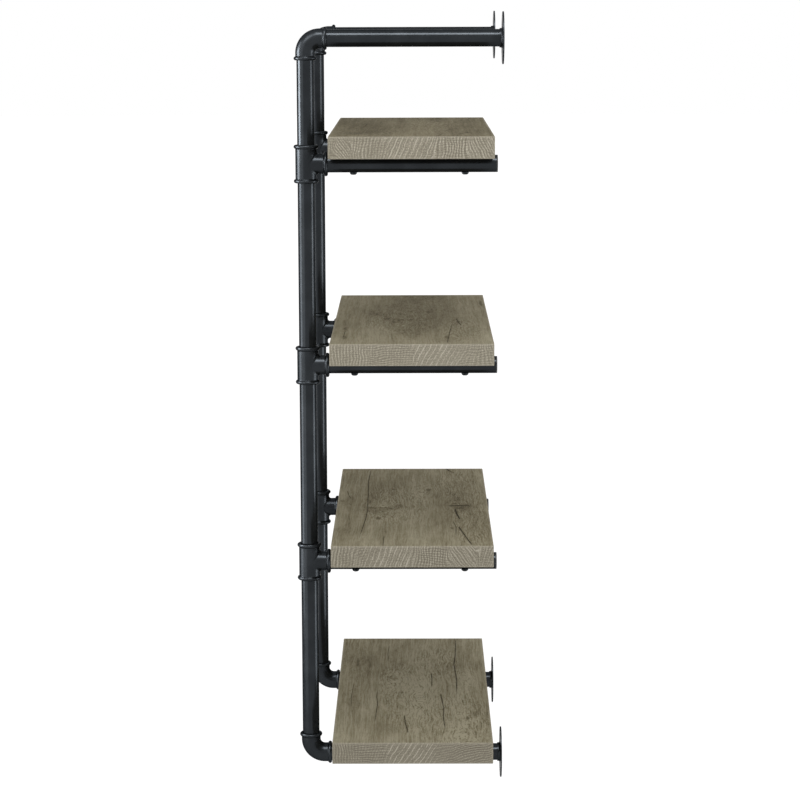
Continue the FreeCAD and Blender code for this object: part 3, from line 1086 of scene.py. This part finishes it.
def make_board(level, settings, material):
    """One board, where its solid is: eased box, bored for the inserts, with its own marks."""
    low, high = map(np.array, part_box(f"board_{level}"))
    centre, half = (low + high) / 2, (high - low) / 2
    box, points, quads = board_surface(level, centre, half, settings)
    obj = mesh_object(f"board_{level}_wood", points + centre, quads)
    grain, values = board_values(level, box, half, settings.edge)
    write_vectors(obj.data, "grain", grain)
    for attribute, parts in BOARD_PARTS.items():
        write_vectors(obj.data, attribute, [values[part] for part in parts])
    obj.data.materials.append(material)
    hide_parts(f"board_{level}")
    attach(obj, "root")


def dress(starts, material):
    """Puts one material on the solids whose names begin with any of these words."""
    objects = [obj for name, obj in sorted(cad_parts.items()) if name.startswith(starts)]
    if not objects:
        raise RuntimeError(f"nothing to finish with {material.name}")
    for obj in objects:
        obj.data.materials.clear()
        obj.data.materials.append(material)


class SHELF_OT_boards(bpy.types.Operator):
    """Make the four boards and their wood"""

    bl_idname = "shelf.boards"
    bl_label = "Boards"

    def execute(self, context):
        settings = context.scene.shelf_boards
        material = wood(settings)
        for level in LEVELS:
            make_board(level, settings, material)
        return {"FINISHED"}


class SHELF_OT_tube(bpy.types.Operator):
    """Finish the uprights and the arms"""

    bl_idname = "shelf.tube"
    bl_label = "Tube"

    def execute(self, context):
        settings = context.scene.shelf_metal
        material = coated("coated_tube", settings.coat, settings.tube_roughness, 0.0)
        dress(("upright", "shelf_arm", "wall_arm"), material)
        return {"FINISHED"}


class SHELF_OT_fittings(bpy.types.Operator):
    """Finish the elbows, tees and wall flanges"""

    bl_idname = "shelf.fittings"
    bl_label = "Fittings"

    def execute(self, context):
        settings = context.scene.shelf_metal
        coat, roughness = settings.coat, settings.cast_roughness
        dress(("elbow", "tee"), coated("coated_casting", coat, roughness, 1.0))
        dress(("flange",), coated("coated_flange", coat, roughness, FLANGE_SKIN))
        return {"FINISHED"}


class SHELF_OT_fixings(bpy.types.Operator):
    """Finish the bolts, inserts and end plugs"""

    bl_idname = "shelf.fixings"
    bl_label = "Fixings"

    def execute(self, context):
        settings = context.scene.shelf_metal
        dress(("bolts",), coated("blackened_bolt", settings.coat, *BOLT_FINISH))
        dress(("inserts",), plated("zinc_insert", ZINC))
        dress(("end_plug",), plastic("plug_plastic", PLUG_BLACK))
        return {"FINISHED"}


def add_camera(settings):
    """Camera that looks along the boards and a little down."""
    data = bpy.data.cameras.new("camera")
    data.lens = settings.lens
    data.sensor_width = 36.0
    data.clip_end = 50.0
    camera = bpy.data.objects.new("camera", data)
    down, aside, roll = settings.tilt
    aim = Euler((math.pi / 2 - down, 0.0, math.pi / 2 + aside)).to_quaternion()
    camera.rotation_mode = "QUATERNION"
    camera.rotation_quaternion = aim @ Quaternion((0.0, 0.0, 1.0), roll)
    camera.location = settings.eye
    bpy.context.scene.collection.objects.link(camera)
    bpy.context.scene.camera = camera


def add_softbox(name, place, target, size, watts, for_gloss):
    """Rectangular lamp at a place, facing a target, that lights either gloss or matte colour."""
    data = bpy.data.lights.new(name, "AREA")
    data.shape = "RECTANGLE"
    data.size, data.size_y = size
    data.energy = watts
    lamp = bpy.data.objects.new(name, data)
    lamp.location = place
    lamp.visible_glossy = for_gloss
    lamp.visible_diffuse = not for_gloss
    lamp.visible_camera = False
    facing = Vector(target) - Vector(place)
    lamp.rotation_mode = "QUATERNION"
    lamp.rotation_quaternion = facing.to_track_quat("-Z", "Y")
    bpy.context.scene.collection.objects.link(lamp)
    lamp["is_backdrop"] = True


def seen_by(s, *rays):
    """Wire that is 1 for any of these kinds of ray and 0 for the others."""
    wires = [s.add("ShaderNodeLightPath", output=f"Is {ray} Ray") for ray in rays]
    seen = wires[0]
    for wire in wires[1:]:
        seen = seen.maths("MAXIMUM", wire)
    return seen


def add_world(ambient):
    """Even white room: plain white to the camera, in gloss and through glass, dimmer as light."""
    s = Shader(bpy.data.worlds.new("studio"))
    seen = seen_by(s, "Camera", "Glossy", "Transmission")
    bpy.context.scene.world = s.finish(Color=WHITE, Strength=seen * (1.0 - ambient) + ambient)


def add_floor(drop):
    """Pale floor below the shelf, a wide disc that glows nearly white, so a shadow still shows."""
    low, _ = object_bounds()
    turns = np.linspace(0.0, 2 * math.pi, FLOOR_SIDES, endpoint=False)
    level = np.full(FLOOR_SIDES, low.z - drop)
    points = np.stack([np.cos(turns) * FLOOR_RADIUS, np.sin(turns) * FLOOR_RADIUS, level], -1)
    mesh = bpy.data.meshes.new("floor")
    mesh.from_pydata(points.tolist(), [], [list(range(FLOOR_SIDES))])
    floor = bpy.data.objects.new("floor", mesh)
    bpy.context.scene.collection.objects.link(floor)
    s = Shader(bpy.data.materials.new("pale_floor"))
    mesh.materials.append(s.finish(Base_Color=FLOOR_COLOUR, Roughness=0.9, Specular_IOR_Level=0.0))
    glow = s.add("ShaderNodeEmission", None, {"Color": WHITE, "Strength": FLOOR_GLOW})
    share = seen_by(s, "Camera", "Glossy") * FLOOR_GLOW_SHARE
    matte = Wire(s, s.surface.outputs[0])
    mix = s.add("ShaderNodeMixShader", None, {0: share, 1: matte, 2: glow})
    s.feed(s.tree.nodes["Material Output"], {"Surface": mix})
    floor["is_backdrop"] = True


class SHELF_OT_stage(bpy.types.Operator):
    """Set the camera, lamps, floor and world"""

    bl_idname = "shelf.stage"
    bl_label = "Stage"

    def execute(self, context):
        settings = context.scene.shelf_stage
        add_camera(settings)
        add_world(settings.ambient)
        add_floor(settings.floor_drop)
        for lamp in LAMPS:
            add_softbox(*lamp)
        context.scene.view_settings.view_transform = "Standard"
        return {"FINISHED"}


class SHELF_PT_panel(bpy.types.Panel):
    """Buttons for each group of pieces and for the stage"""

    bl_idname = "SHELF_PT_panel"
    bl_label = "Wall Shelf"
    bl_space_type = "VIEW_3D"
    bl_region_type = "UI"
    bl_category = "Wall Shelf"

    def draw(self, context):
        for operator in STEPS:
            self.layout.operator(operator.bl_idname)


STEPS = (
    SHELF_OT_boards,
    SHELF_OT_tube,
    SHELF_OT_fittings,
    SHELF_OT_fixings,
    SHELF_OT_stage,
)
SETTINGS = {
    "shelf_boards": BoardSettings,
    "shelf_metal": MetalSettings,
    "shelf_stage": StageSettings,
}


def register():
    """Adds the classes, and the settings to the scene."""
    for name, group in SETTINGS.items():
        bpy.utils.register_class(group)
        setattr(bpy.types.Scene, name, PointerProperty(type=group))
    for cls in (*STEPS, SHELF_PT_panel):
        bpy.utils.register_class(cls)


def unregister():
    """Takes the classes and the settings away again."""
    for cls in reversed((*STEPS, SHELF_PT_panel)):
        bpy.utils.unregister_class(cls)
    for name, group in reversed(SETTINGS.items()):
        delattr(bpy.types.Scene, name)
        bpy.utils.unregister_class(group)


def main():
    """Makes every piece and the stage."""
    register()
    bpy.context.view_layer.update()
    bpy.ops.shelf.boards()
    bpy.ops.shelf.tube()
    bpy.ops.shelf.fittings()
    bpy.ops.shelf.fixings()
    bpy.ops.shelf.stage()


if __name__ == "__main__":
    main()
